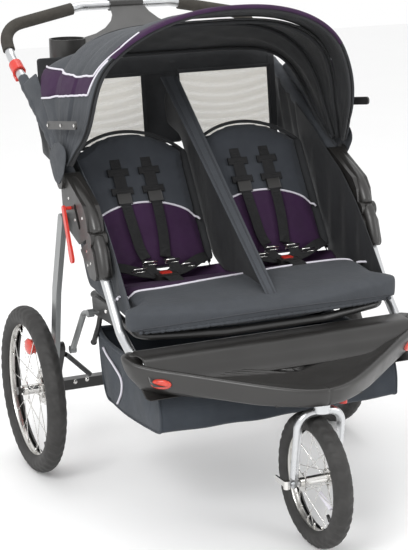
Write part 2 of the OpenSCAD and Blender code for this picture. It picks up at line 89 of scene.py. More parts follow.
def material(name, colour, rough=0.5, metal=0.0, vary=0.08, patch=12.0, grain=0.0, grain_scale=500.0,
             weave=0.0, crease=0.0, crease_scale=14.0, sheen=0.0, coat=0.0, spec=0.5, stretch=(1, 1, 1)):
    """A Principled material: patchy colour, and bump from grain, weave and creases (depths in mm)."""
    m = bpy.data.materials.new(name)
    m.use_nodes = True
    t = m.node_tree
    s = t.nodes["Principled BSDF"]
    s.inputs["Metallic"].default_value = metal
    s.inputs["Sheen Weight"].default_value = sheen
    s.inputs["Sheen Roughness"].default_value = 0.4
    s.inputs["Coat Weight"].default_value = coat
    s.inputs["Coat Roughness"].default_value = 0.15
    s.inputs["Specular IOR Level"].default_value = spec
    where = t.nodes.new("ShaderNodeTexCoord").outputs["Object"]
    if stretch != (1, 1, 1):
        mapping = t.nodes.new("ShaderNodeMapping")
        mapping.inputs["Scale"].default_value = stretch
        t.links.new(where, mapping.inputs[0])
        where = mapping.outputs[0]

    def noise(scale, detail=3.0, distort=0.0):
        n = t.nodes.new("ShaderNodeTexNoise")
        n.inputs["Scale"].default_value, n.inputs["Detail"].default_value = scale, detail
        n.inputs["Distortion"].default_value = distort
        t.links.new(where, n.inputs["Vector"])
        return n.outputs["Fac"]

    def ramp(value, low, high):
        r = t.nodes.new("ShaderNodeMapRange")
        r.inputs["From Min"].default_value, r.inputs["From Max"].default_value = 0.3, 0.7
        r.inputs["To Min"].default_value, r.inputs["To Max"].default_value = low, high
        t.links.new(value, r.inputs["Value"])
        return r.outputs[0]

    patches = noise(patch, 5.0)
    mix = t.nodes.new("ShaderNodeMix")
    mix.data_type = "RGBA"
    mix.inputs[6].default_value = (*[c * (1 - vary) for c in colour], 1)
    mix.inputs[7].default_value = (*[min(1, c * (1 + vary)) for c in colour], 1)
    t.links.new(ramp(patches, 0, 1), mix.inputs[0])
    t.links.new(mix.outputs[2], s.inputs["Base Color"])
    t.links.new(ramp(noise(patch * 3, 4.0), max(0.03, rough - 0.05), min(1, rough + 0.05)),
                s.inputs["Roughness"])
    height = []
    if grain:
        height.append((noise(grain_scale, 2.0), grain))
    if crease:
        height.append((noise(crease_scale, 2.0, 1.2), crease))
    if weave:
        for axis in ("X", "Z", "Y"):
            w = t.nodes.new("ShaderNodeTexWave")
            w.bands_direction = axis
            w.inputs["Scale"].default_value = 230
            t.links.new(where, w.inputs["Vector"])
            height.append((w.outputs["Fac"], weave))
    normal = None
    for value, depth in height:
        b = t.nodes.new("ShaderNodeBump")
        b.inputs["Strength"].default_value = 1.0
        b.inputs["Distance"].default_value = depth * 0.001
        t.links.new(value, b.inputs["Height"])
        if normal is not None:
            t.links.new(normal, b.inputs["Normal"])
        normal = b.outputs[0]
    if normal is not None:
        t.links.new(normal, s.inputs["Normal"])
    m["slot"] = name
    return m


SILVER = material("silver_tube", (0.60, 0.61, 0.62), 0.30, 1.0, 0.05, 9, grain=0.02, grain_scale=700)
GREY_PAINT = material("grey_paint", (0.27, 0.28, 0.28), 0.38, 0.75, 0.05, 8, grain=0.03, grain_scale=600,
                      coat=0.2)
PLASTIC = material("black_plastic", (0.020, 0.019, 0.018), 0.36, 0.0, 0.15, 10, grain=0.05, grain_scale=900,
                   spec=0.6)
STEEL = material("black_steel", (0.014, 0.014, 0.014), 0.34, 0.0, 0.15, 12, grain=0.04, grain_scale=700,
                 coat=0.15)
CHROME = material("chrome", (0.72, 0.71, 0.69), 0.16, 1.0, 0.05, 20, grain=0.01)
ALLOY = material("rim_alloy", (0.72, 0.71, 0.68), 0.32, 1.0, 0.05, 16, grain=0.02, grain_scale=500)
RUBBER = material("tyre_rubber", (0.027, 0.026, 0.025), 0.68, 0.0, 0.25, 30, grain=0.15, grain_scale=350)
FOAM = material("foam", (0.040, 0.036, 0.030), 0.9, 0.0, 0.18, 60, grain=0.35, grain_scale=420)
RED = material("red_plastic", (0.58, 0.030, 0.018), 0.32, 0.0, 0.08, 20, grain=0.04, grain_scale=800,
               coat=0.2)
REFLECTOR = material("reflector_red", (0.55, 0.035, 0.015), 0.16, 0.0, 0.2, 160, grain=0.4, grain_scale=260,
                     coat=0.8)
GREY = material("fabric_grey", (0.046, 0.051, 0.059), 0.86, 0.0, 0.09, 16, grain=0.12, grain_scale=900,
                weave=0.12, crease=1.6, crease_scale=13, sheen=0.06)
PURPLE = material("fabric_purple", (0.029, 0.0055, 0.038), 0.84, 0.0, 0.12, 18, grain=0.12, grain_scale=900,
                  weave=0.12, crease=1.2, crease_scale=12, sheen=0.015)
DARK = material("fabric_black", (0.017, 0.018, 0.020), 0.82, 0.0, 0.15, 14, grain=0.1, grain_scale=900,
                weave=0.1, crease=2.6, crease_scale=10, sheen=0.08)
BASKET = material("fabric_basket", (0.028, 0.035, 0.045), 0.8, 0.0, 0.14, 14, grain=0.12, grain_scale=900,
                  weave=0.14, crease=3.0, crease_scale=9, sheen=0.1)
WEBBING = material("webbing", (0.013, 0.013, 0.014), 0.8, 0.0, 0.2, 60, grain=0.1, grain_scale=500,
                   weave=0.3)
PIPING = material("piping_white", (0.66, 0.64, 0.70), 0.6, 0.0, 0.05, 60, grain=0.1, grain_scale=700)
THREAD = material("thread", (0.045, 0.048, 0.055), 0.8, 0.0, 0.1, 90, grain=0.1)
# the seat backs' grey is fabric_grey made darker: painted shade, not a different cloth
SHADED_BACK_GREY = material("fabric_grey_painted_shade", (0.036, 0.041, 0.050), 0.86, 0.0, 0.10, 16, grain=0.12, grain_scale=900,
                      weave=0.12, crease=1.6, crease_scale=11, sheen=0.12)


def net_material():
    """Open mesh cloth: cream threads with small holes between them."""
    m = bpy.data.materials.new("mesh_cream")
    m.use_nodes = True
    t = m.node_tree
    s = t.nodes["Principled BSDF"]
    s.inputs["Base Color"].default_value = (0.88, 0.84, 0.74, 1)
    s.inputs["Roughness"].default_value = 0.85
    where = t.nodes.new("ShaderNodeTexCoord").outputs["Object"]
    cells = t.nodes.new("ShaderNodeTexVoronoi")
    cells.inputs["Scale"].default_value = 420
    cells.inputs["Randomness"].default_value = 0.15
    t.links.new(where, cells.inputs["Vector"])
    hole = t.nodes.new("ShaderNodeMapRange")
    hole.inputs["From Min"].default_value, hole.inputs["From Max"].default_value = 0.25, 0.55
    hole.inputs["To Min"].default_value, hole.inputs["To Max"].default_value = 0.2, 0.5
    t.links.new(cells.outputs["Distance"], hole.inputs["Value"])
    t.links.new(hole.outputs[0], s.inputs["Alpha"])
    return m


NET = net_material()

# ---- mesh helpers ----


def new_object(name, mesh, mats, body):
    obj = bpy.data.objects.new(name, mesh)
    for m in mats if isinstance(mats, (list, tuple)) else [mats]:
        mesh.materials.append(m)
    scene.collection.objects.link(obj)
    if body:
        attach(obj, body)
    return obj


def shade_smooth(mesh, on=True):
    mesh.polygons.foreach_set("use_smooth", [on] * len(mesh.polygons))


def vectors_of(mesh, field):
    """One vector for each vertex: its place (co) or its normal, as an (n, 3) array."""
    values = np.zeros(len(mesh.vertices) * 3)
    mesh.vertices.foreach_get(field, values)
    return values.reshape(-1, 3)


def spoke_way(turn):
    """A direction across a wheel, turned from the rear upward."""
    return np.array([0, math.cos(turn), math.sin(turn)])


def dome_faces(n, rings):
    """Faces of a round cap: a tip, then rings of n points."""
    faces = [(0, 1 + j, 1 + (j + 1) % n) for j in range(n)]
    return faces + [(1 + k * n + j, 1 + (k + 1) * n + j, 1 + (k + 1) * n + (j + 1) % n,
                     1 + k * n + (j + 1) % n) for k in range(rings - 1) for j in range(n)]


def mesh_piece(name, verts, faces, mats, body, rounded=True):
    mesh = bpy.data.meshes.new(name)
    mesh.from_pydata((np.asarray(verts, float) * 0.001).tolist(), [],
                     [tuple(int(i) for i in f) for f in faces])
    mesh.update()
    shade_smooth(mesh, rounded)
    return new_object(name, mesh, mats, body)


def grid_faces(nu, nv, close_u=False, close_v=False, start=0):
    out = []
    for i in range(nu if close_u else nu - 1):
        for j in range(nv if close_v else nv - 1):
            a, b = i * nv + j, i * nv + (j + 1) % nv
            c, d = ((i + 1) % nu) * nv + (j + 1) % nv, ((i + 1) % nu) * nv + j
            out.append((start + a, start + b, start + c, start + d))
    return out


def modifier(obj, kind, **values):
    m = obj.modifiers.new(kind.lower(), kind)
    for k, v in values.items():
        setattr(m, k, v)
    return m


def cloth_grid(name, points, mats, body, thick=1.5, smooth_levels=1):
    """A sheet through a grid of points (nu, nv, 3), with a real thickness."""
    p = np.asarray(points, float)
    obj = mesh_piece(name, p.reshape(-1, 3), grid_faces(p.shape[0], p.shape[1]), mats, body)
    if smooth_levels:
        modifier(obj, "SUBSURF", levels=smooth_levels, render_levels=smooth_levels)
    modifier(obj, "SOLIDIFY", thickness=thick * 0.001, offset=0)
    return obj


def spline(points, n):
    """n points along a Catmull-Rom curve through points."""
    p = np.asarray(points, float)
    q = np.vstack([2 * p[0] - p[1], p, 2 * p[-1] - p[-2]])
    out = []
    for t in np.linspace(0, len(p) - 1, n):
        i = min(int(t), len(p) - 2)
        f = t - i
        a, b, c, d = q[i], q[i + 1], q[i + 2], q[i + 3]
        out.append(0.5 * (2 * b + (c - a) * f + (2 * a - 5 * b + 4 * c - d) * f ** 2
                          + (3 * b - a - 3 * c + d) * f ** 3))
    return np.array(out)


def frames(p, closed=False):
    t = (np.roll(p, -1, 0) - np.roll(p, 1, 0)) if closed else np.gradient(p, axis=0)
    t /= np.linalg.norm(t, axis=1)[:, None]
    u = np.cross(t[0], [0, 0, 1.0])
    if np.linalg.norm(u) < 0.2:
        u = np.cross(t[0], [1.0, 0, 0])
    us = []
    for d in t:
        u = u - d * (u @ d)
        u /= np.linalg.norm(u)
        us.append(u)
    us = np.array(us)
    return t, us, np.cross(t, us)


def tube(name, points, r, mat, body, sides=10, closed=False, flat=1.0, join=None):
    """A round (or flattened) cord along points; r is one radius or one for each point."""
    p = np.asarray(points, float)
    t, u, v = frames(p, closed)
    r = np.broadcast_to(np.asarray(r, float), (len(p),))
    ang = np.arange(sides) * 2 * math.pi / sides
    rings = p[:, None] + r[:, None, None] * (np.cos(ang)[None, :, None] * u[:, None]
                                             + flat * np.sin(ang)[None, :, None] * v[:, None])
    verts = rings.reshape(-1, 3)
    faces = grid_faces(len(p), sides, closed, True)
    if not closed:
        faces += [tuple(range(sides))[::-1], tuple((len(p) - 1) * sides + np.arange(sides))]
    if join is not None:
        join.append((verts, faces))
        return None
    return mesh_piece(name, verts, faces, mat, body)


def ribbon(points, width, thick, normals):
    """Vertices and faces of a flat strap along points, its face turned to normals."""
    p = np.asarray(points, float)
    t, _, _ = frames(p)
    n = np.broadcast_to(np.asarray(normals, float), p.shape)
    n = n - t * np.sum(n * t, 1)[:, None]
    n /= np.linalg.norm(n, axis=1)[:, None]
    s = np.cross(t, n)
    w = np.broadcast_to(np.asarray(width, float), (len(p),))[:, None] / 2
    c = thick / 2
    ring = np.stack([p + s * w - n * c, p + s * w + n * c, p - s * w + n * c, p - s * w - n * c], 1)
    ends = [(0, 1, 2, 3), tuple((len(p) - 1) * 4 + np.array([3, 2, 1, 0]))]
    return ring.reshape(-1, 3), grid_faces(len(p), 4, False, True) + ends


def merged(name, parts, mat, body, rounded=True):
    verts, faces, n = [], [], 0
    for v, f in parts:
        verts.append(np.asarray(v, float))
        faces += [tuple(int(i) + n for i in q) for q in f]
        n += len(v)
    return mesh_piece(name, np.vstack(verts), faces, mat, body, rounded)


def lathe(profile, centre, n=96, axis_x=1.0):
    """A closed profile of (radius, x) turned about the X axis through centre."""
    prof = np.asarray(profile, float)
    a = np.arange(n) * 2 * math.pi / n
    pts = np.stack([np.broadcast_to(axis_x * prof[None, :, 1], (n, len(prof))),
                    np.cos(a)[:, None] * prof[None, :, 0], np.sin(a)[:, None] * prof[None, :, 0]], -1)
    return pts.reshape(-1, 3) + np.asarray(centre, float), grid_faces(n, len(prof), True, True)


def dome(centre, normal, r, height, n=20):
    """A small rivet head or button."""
    c, z = np.asarray(centre, float), np.asarray(normal, float)
    z = z / np.linalg.norm(z)
    u = np.cross(z, [0.3, 0.5, 0.81])
    u /= np.linalg.norm(u)
    v = np.cross(z, u)
    verts, rings = [c + z * height], 5
    for k in range(1, rings + 1):
        q = k / rings * math.pi / 2
        for j in range(n):
            a = 2 * math.pi * j / n
            verts.append(c + z * height * math.cos(q) + r * math.sin(q) * (u * math.cos(a) + v * math.sin(a)))
    base = tuple(1 + (rings - 1) * n + j for j in range(n))[::-1]
    return np.array(verts), dome_faces(n, rings) + [base]


def bend_edges(obj, width=1.5, segments=3, angle=35):
    modifier(obj, "BEVEL", width=width * 0.001, segments=segments, limit_method="ANGLE",
             angle_limit=math.radians(angle), harden_normals=False)
    shade_smooth(obj.data)
    modifier(obj, "WEIGHTED_NORMAL", keep_sharp=False, weight=60)


def ripple(y, z, phase=0.0):
    """A fixed soft unevenness between -1 and 1 for cloth."""
    return (np.sin(y * 0.031 + z * 0.043 + phase) + 0.6 * np.sin(y * 0.083 - z * 0.057 + 2.1 * phase)
            + 0.4 * np.sin(y * 0.021 + z * 0.131 + 1.3 + phase)) / 2.0


SIDES = (("left", -1), ("right", 1))

# ---- CAD pieces that keep their shape ----

KEPT = (
    (SILVER, "front_tubes handle_tube backrest_tube fork"),
    (GREY_PAINT, "legs side_links"),
    (PLASTIC, "lower_housings upper_housings steering_head console leg_feet canopy_clamps"),
    (PLASTIC, "canopy_mid_discs canopy_front_discs buckle_left buckle_right"),
    (STEEL, "seat_frame axle_beam axle_braces basket_frame seat_brackets"),
    (CHROME, "frame_rivets quick_release front_hub left_hub right_hub"),
    (CHROME, "front_spokes left_spokes right_spokes"),
    (RED, "trigger_left trigger_right latch_left latch_right swivel_lock left_brake_pedal"),
    (RED, "right_brake_pedal buckle_button_left buckle_button_right"),
    (FOAM, "grips"),
)
BEVELS = {
    1: "canopy_mid_discs canopy_front_discs seat_brackets quick_release",
    1.2: "canopy_clamps",
    1.5: "legs axle_beam swivel_lock buckle_button_left buckle_button_right",
    2: "latch_left latch_right steering_head",
    2.5: "lower_housings upper_housings console leg_feet trigger_left trigger_right",
    3: "left_brake_pedal right_brake_pedal buckle_left buckle_right",
}
bevel_of = {node: width for width, names in BEVELS.items() for node in names.split()}
for mat, names in KEPT:
    for node in names.split():
        obj = nodes[node]
        obj.data.materials.clear()
        obj.data.materials.append(mat)
        if node in bevel_of:
            bend_edges(obj, bevel_of[node])
        else:
            shade_smooth(obj.data)
            modifier(obj, "EDGE_SPLIT", split_angle=math.radians(38))

# ---- floor ----

bpy.ops.mesh.primitive_plane_add(size=14, location=(0, 2, 0))
floor = bpy.context.object
floor.name = "floor"
floor.data.materials.append(material("floor_paint", (0.93, 0.93, 0.93), 0.8, 0, 0.004, 3, grain=0.02))

# ---- wheels ----


def tyre(name, node, body, centre, r, sec, lugs):
    """A round tyre with wavy tread blocks and ribbed shoulders."""
    nt, nf = lugs * 10, 44
    a = np.arange(nt) * 2 * math.pi / nt
    f = np.linspace(-2.62, 2.62, nf)
    aa, ff = np.meshgrid(a, f, indexing="ij")
    wave = np.sin(lugs * aa + 2.3 * np.sin(ff * 2.2) * np.sign(ff + 1e-9))
    tread = 1 / (1 + np.exp(-10 * (wave - 0.05)))
    shoulder = 1 / (1 + np.exp(-10 * (np.sin(lugs * aa + ff * 5) - 0.2)))
    centre_rib = np.exp(-(ff / 0.16) ** 2)
    zone = np.clip((1.0 - np.abs(ff)) / 0.12, 0, 1)
    edge = np.exp(-((np.abs(ff) - 1.35) / 0.28) ** 2)
    h = zone * np.maximum(tread, centre_rib) * 1.5 + edge * shoulder * 0.9 - 1.5
    rim_ring = np.exp(-((np.abs(ff) - 2.2) / 0.07) ** 2) * 0.6
    rad = sec + h + rim_ring
    y = r - sec + rad * np.cos(ff)
    pts = np.stack([rad * np.sin(ff), np.cos(aa) * y, np.sin(aa) * y], -1) + np.asarray(centre, float)
    obj = mesh_piece(name, pts.reshape(-1, 3), grid_faces(nt, nf, True), RUBBER, body)
    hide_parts(node)


def rim(name, node, body, centre, r, sec):
    """A double-walled alloy rim with rolled edges."""
    bed, w = r - 1.1 * sec, sec * 0.62
    prof = [(bed + 1.5, -w), (bed + 1.5, -w + 1.6), (bed - 3, -w + 2.4), (bed - 4, -w * 0.4),
            (bed - 4, w * 0.4), (bed - 3, w - 2.4), (bed + 1.5, w - 1.6), (bed + 1.5, w),
            (bed - 2, w + 0.6), (bed - 6, w - 0.4),
            (bed - 10, w * 0.72), (bed - 13.4, w * 0.4), (bed - 14, 0), (bed - 13.4, -w * 0.4),
            (bed - 10, -w * 0.72), (bed - 6, -w + 0.4), (bed - 2, -w - 0.6)]
    verts, faces = lathe(prof, centre, 128)
    obj = mesh_piece(name, verts, faces, ALLOY, body)
    modifier(obj, "SUBSURF", levels=1, render_levels=1)
    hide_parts(node)
    nipples = []
    for i in range(20):
        d = spoke_way(2 * math.pi * i / 20)
        c = np.asarray(centre, float)
        tube("", [c + d * (bed - 24), c + d * (bed - 12)], [1.3, 2.0], None, None, 8, join=nipples)
    merged(name + "_nipples", nipples, CHROME, body)


def wheel_trim(name, body, centre, r, sec, half, reflector_turns, valve_turn):
    """Spoke reflectors, valve, hub nuts and bearing caps."""
    c = np.asarray(centre, float)
    bed = r - 1.1 * sec
    for k, turn in enumerate(reflector_turns):
        at = c + spoke_way(turn) * 108
        parts = [dome(at + np.array([s * 6, 0, 0]), (s, -0.25, 0), 20, 6, 28) for s in (-1, 1)]
        parts.append(lathe([(0.5, -7), (17, -7), (17, 7), (0.5, 7)], at, 28))
        merged(f"{name}_reflector_{k}", parts, REFLECTOR, body)
    d = spoke_way(valve_turn)
    tube(name + "_valve", [c + d * q for q in (bed - 12, bed - 24, bed - 26, bed - 40)], [3, 3, 4, 3.6],
         STEEL, body, 12)
    nut = [(2, half), (9, half), (9.5, half - 1), (9.5, half - 5), (2, half - 5)]
    caps = [lathe(nut, centre, 24, s) for s in (-1, 1)]
    merged(name + "_hub_caps", caps, STEEL, body)


REAR = {"left": (-394, 240, 200), "right": (394, 240, 200)}
for side, s in SIDES:
    tyre(f"tyre_{side}", f"{side}_tyre", f"{side}_wheel", REAR[side], 200, 24, 46)
    rim(f"rim_{side}", f"{side}_rim", f"{side}_wheel", REAR[side], 200, 24)
    wheel_trim(f"wheel_{side}", f"{side}_wheel", REAR[side], 200, 24, 26.5, (1.64,), -2.2)
tyre("tyre_front", "front_tyre", "front_wheel", (0, -448, 146), 146, 22, 36)
rim("rim_front", "front_rim", "front_wheel", (0, -448, 146), 146, 22)
wheel_trim("wheel_front", "front_wheel", (0, -448, 146), 146, 22, 39.5, (), -2.35)
d = spoke_way(-2.75)
tube("wheel_front_reflector", [np.array([-9.0 + q * 0.04, -448, 146]) + d * q for q in (38, 40, 88, 90)],
     [2.5, 5, 5, 2.5], PIPING, "front_wheel", 14)

# ---- housings: moulded ridges and rivets ----

RIDGE_UP = [(80, 730), (45, 716), (8, 702), (-18, 690), (-36, 680), (-54, 662), (-72, 634)]
RIDGE_LOW = [(-77, 628), (-88, 612), (-97, 598), (-108, 570), (-113, 545)]
for side, s in SIDES:
    up_pts = spline([(s * 332, y, z) for y, z in RIDGE_UP], 26)
    low_pts = spline([(s * 331, y, z) for y, z in RIDGE_LOW], 18)
    up_r = np.interp(np.linspace(0, 1, 26), [0, 0.1, 0.9, 1], [11, 15, 15, 13.6])
    low_r = np.interp(np.linspace(0, 1, 18), [0, 0.15, 0.9, 1], [13.6, 15, 14.6, 13])
    tube(f"ridge_upper_{side}", up_pts, up_r, PLASTIC, "handle", 20, flat=1.1)
    tube(f"ridge_lower_{side}", low_pts, low_r, PLASTIC, "chassis", 20, flat=1.05)
    heads = [dome((s * 349.6, y, z), (s, 0, 0), 3.6, 2.2) for y, z in ((49, 693), (12, 651), (-36, 664))]
    merged(f"housing_rivets_{side}", heads, CHROME, "handle")
    heads = [dome((s * 357.6, y, z), (s, 0, 0), 4.2, 3) for y, z in ((-30, 866), (59.5, 854), (149, 842))]
    merged(f"clamp_rivets_{side}", heads, CHROME, "canopy_front")
    bolts = [dome((s * x, 227, z), (0, -1, 0), 6, 5) for x, z in ((292, 206), (262, 208))]
    merged(f"axle_bolts_{side}", bolts, CHROME, "rear_legs")
    bolts = [dome((s * 311, -104, 460), (s, 0, 0), 6, 5), dome((s * 311, -60, 456), (s, 0, 0), 5, 4)]
    merged(f"bracket_bolts_{side}", bolts, CHROME, "chassis")

# ---- front tray: one moulded shell with a rolled rim and a well ----

TRAY_HALF = [(0, -518), (30, -514), (65, -500), (110, -472), (175, -424), (262, -357), (330, -306),
             (350, -276), (350, -250), (332, -232)]


def tray():
    half = spline(TRAY_HALF, 60)
    rear = np.stack([np.linspace(318, 12, 24), np.full(24, -232.0)], 1)
    loop = np.vstack([half, rear])
    loop = np.vstack([loop, loop[::-1] * [-1, 1]])
    keep = np.ones(len(loop), bool)
    for i in range(1, len(loop)):
        keep[i] = np.linalg.norm(loop[i] - loop[i - 1]) > 1.0
    loop = loop[keep]
    nxt, prv = np.roll(loop, -1, 0), np.roll(loop, 1, 0)
    t = nxt - prv
    t /= np.linalg.norm(t, axis=1)[:, None]
    inward = np.stack([-t[:, 1], t[:, 0]], 1)
    top = np.interp(-loop[:, 1], [232, 262, 330, 505, 518], [413, 413, 396, 368, 366])
    rear_side = np.clip((loop[:, 1] + 300) / 60, 0, 1)
    rings = []
    cover = np.interp(-loop[:, 1], [232, 246, 330, 452, 518], [412, 411, 383, 359, 358])
    under = np.interp(-loop[:, 1], [232, 246, 330, 452, 518], [382, 382, 353, 331, 329])
    rings_at = ((58, 331, 0), (46, 327, 0), (34, 327 + (under - 327) * 0.25, 0),
                (20, 327 + (under - 327) * 0.62, 0), (9, under - 1, 0),
                (4, under + (top - under) * 0.35, 0), (1, top - (top - under) * 0.3, 0),
                (0, top - (top - under) * 0.14, 0), (1.5, top - 1.2, 0), (6, top, 0), (11, top - 0.8, 0),
                (16, top - (top - 362) * 0.14, 1), (30, top - (top - 362) * 0.45, 1),
                (44, top - (top - 362) * 0.8, 1), (54, 364, 0), (76, 362.5, 0))
    for inset, z, covers in rings_at:
        wide = 1 + 0.6 * rear_side * (inset > 13)
        xy = loop + inward * (inset * wide)[:, None]
        z = np.broadcast_to(z, len(loop)).astype(float)
        if covers:
            z = np.maximum(z, cover - (inset > 40))
        rings.append(np.column_stack([xy, z]))
    mid = np.column_stack([loop * [0.45, 0.0] + [0, -345], np.full(len(loop), 362.0)])
    mid[:, 1] += (loop[:, 1] + 370) * 0.18
    rings.append(mid)
    rings.append(np.column_stack([mid[:, :2] * [0.3, 1], mid[:, 2] - 0.5]))
    p = np.array(rings)
    nr, nl = p.shape[:2]
    faces = grid_faces(nr, nl, False, True) + [tuple((nr - 1) * nl + np.arange(nl))[::-1]]
    obj = mesh_piece("front_tray_shell", p.reshape(-1, 3), faces, PLASTIC, "chassis")
    modifier(obj, "SOLIDIFY", thickness=0.003, offset=0)
    modifier(obj, "SUBSURF", levels=1, render_levels=1)
    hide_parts("front_tray")
    ribs = []
    for k in range(4):
        x0 = -250 + k * 34
        line = spline([(x0, -292 - k * 4, 366), (x0 + 60, -316 - 8 * k, 363),
                       (x0 + 130, -352 - 8 * k, 361)], 12)
        tube("", line, np.sin(np.linspace(0.15, math.pi - 0.15, 12)) * 7, None, None, 10, join=ribs)
    merged("tray_ribs", ribs, PLASTIC, "chassis")


tray()
for side, s in SIDES:
    along, out = np.array([s * 0.812, 0.584, 0.0]), np.array([s * 0.555, -0.771, -0.312])
    rise = np.cross(out, along)
    middle = np.array([s * 294.5, -331, 366.0])
    verts, rings = [middle + out * 6], 6
    for k in range(1, rings + 1):
        q = k / rings * math.pi / 2
        for j in range(32):
            a = 2 * math.pi * j / 32
            verts.append(middle + out * 6 * math.cos(q) ** 0.5 - out * 4 * (k == rings)
                         + math.sin(q) * (along * 22 * math.cos(a) + rise * 11 * math.sin(a)))
    oval = mesh_piece(f"tray_reflector_{side}", verts, dome_faces(32, rings), REFLECTOR, "chassis")
    if s < 0:
        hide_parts("side_reflectors")

# ---- canopy ----

HUB = (85.0, 728.0)
REAR_SEC = dict(a0=43, a1=72, w=345.5, r0=350, r1=350, rake=0)
MID_SEC = dict(a0=68, a1=100, w=347.3, r0=352, r1=352, rake=0)
FRONT_SEC = dict(a0=96, a1=130, w=349.2, r0=354, r1=423, rake=13)


def on_canopy(sec, a, f, out=0.0):
    """A point on a canopy section: a is the angle about the hubs, f runs from right over to left."""
    a, f = np.broadcast_arrays(np.asarray(a, float), np.radians(np.asarray(f, float)))
    s = np.clip((a - sec["a0"]) / (sec["a1"] - sec["a0"]), 0, 1.03)
    n = np.interp(a, [43, 56, 90, 130], [7.0, 3.7, 3.3, 3.0])
    n = n - 0.65 * np.clip((a - 96) / 34, 0, 1) * np.sin(f) ** 2
    k = (np.abs(np.cos(f)) ** n + np.abs(np.sin(f)) ** n) ** (-1 / n)
    level = k * np.sin(f)
    r = sec["r0"] + (sec["r1"] - sec["r0"]) * s + out - 13 * np.sin(math.pi * np.clip((a - 43) / 73, 0, 1))
    uneven = 1.6 * ripple(a * 9, np.degrees(f) * 6, 0.7)
    sag = np.sin(math.pi * np.clip(s, 0, 1)) * (4 + 6 * np.sin(f) + uneven)
    rho = (r - sag) * level
    t = np.clip((level - 0.3) / 0.4, 0, 1)
    last = sec["a1"] - sec["rake"] * t * t * (3 - 2 * t)
    turn = np.radians(sec["a0"] + (last - sec["a0"]) * s)
    w = sec["w"] + out - 9 * np.clip((rho - 40) / 80, 0, 1) - 7 * np.exp(-((rho - 160) / 75) ** 2) * (a > 90)
    x = w * k * np.cos(f)
    dent = np.sin(math.pi * np.clip(s, 0, 1)) * 3.0 * np.clip(1 - rho / 300, 0, 1)
    x = x - np.sign(x) * dent * (1 + 0.7 * ripple(a * 11, np.degrees(f) * 9, 2.0))
    return np.stack([x, HUB[0] + rho * np.cos(turn), HUB[1] + rho * np.sin(turn)], -1)


def side_f(sec, a, z, s):
    """f of the point at height z on one side of the section, at angle a."""
    a, z = np.broadcast_arrays(np.asarray(a, float), np.asarray(z, float))
    scan = np.linspace(4, 88, 170)
    f = np.array([np.interp(zi, np.maximum.accumulate(on_canopy(sec, ai, scan)[:, 2]), scan)
                  for ai, zi in zip(a, z)])
    return f if s > 0 else 180 - f


def canopy_section(name, sec, body, node, outer, f_low=6.0):
    na, nf = 22, 110
    f = np.linspace(f_low, 180 - f_low, nf)
    a = np.linspace(sec["a0"], sec["a1"], na)
    aa, ff = np.meshgrid(a, f, indexing="ij")
    out_p, in_p = on_canopy(sec, aa, ff), on_canopy(sec, aa, ff, -2.4)
    n = na * nf
    verts = np.vstack([out_p.reshape(-1, 3), in_p.reshape(-1, 3)])
    faces = [q[::-1] for q in grid_faces(na, nf)]
    mats = [0] * len(faces)
    inner = grid_faces(na, nf, start=n)
    faces += inner
    mats += [1] * len(inner)
    for i in range(na - 1):
        for j in (0, nf - 1):
            q = (i * nf + j, (i + 1) * nf + j, n + (i + 1) * nf + j, n + i * nf + j)
            faces.append(q if j else q[::-1])
            mats.append(1)
    for j in range(nf - 1):
        for i in (0, na - 1):
            q = (i * nf + j, i * nf + j + 1, n + i * nf + j + 1, n + i * nf + j)
            faces.append(q[::-1] if i else q)
            mats.append(1)
    obj = mesh_piece(name, verts, faces, [outer, DARK], body)
    obj.data.polygons.foreach_set("material_index", mats)
    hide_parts(node)
    return obj, out_p


def canopy_strip(name, sec, a, f0, f1, mat, body, lift=1.0):
    """A sewn-on strip between two lines on a section."""
    a = np.asarray(a, float)
    f0, f1 = np.broadcast_to(f0, a.shape), np.broadcast_to(f1, a.shape)
    k = np.linspace(0, 1, 7)
    pts = on_canopy(sec, np.repeat(a[:, None], 7, 1), f0[:, None] + (f1 - f0)[:, None] * k[None], lift)
    if np.mean(f0) > 90:
        pts = pts[:, ::-1]
    obj = mesh_piece(name, pts.reshape(-1, 3), grid_faces(len(a), 7), mat, body)
    modifier(obj, "SOLIDIFY", thickness=0.0012, offset=0)
    return obj


front_sheet, front_grid = canopy_section("canopy_front_cloth", FRONT_SEC, "canopy_front", "canopy_front",
                                         GREY)
mid_sheet, mid_grid = canopy_section("canopy_mid_cloth", MID_SEC, "canopy_mid", "canopy_mid", GREY)
rear_sheet, rear_grid = canopy_section("canopy_rear_cloth", REAR_SEC, "handle", "canopy_rear", GREY)

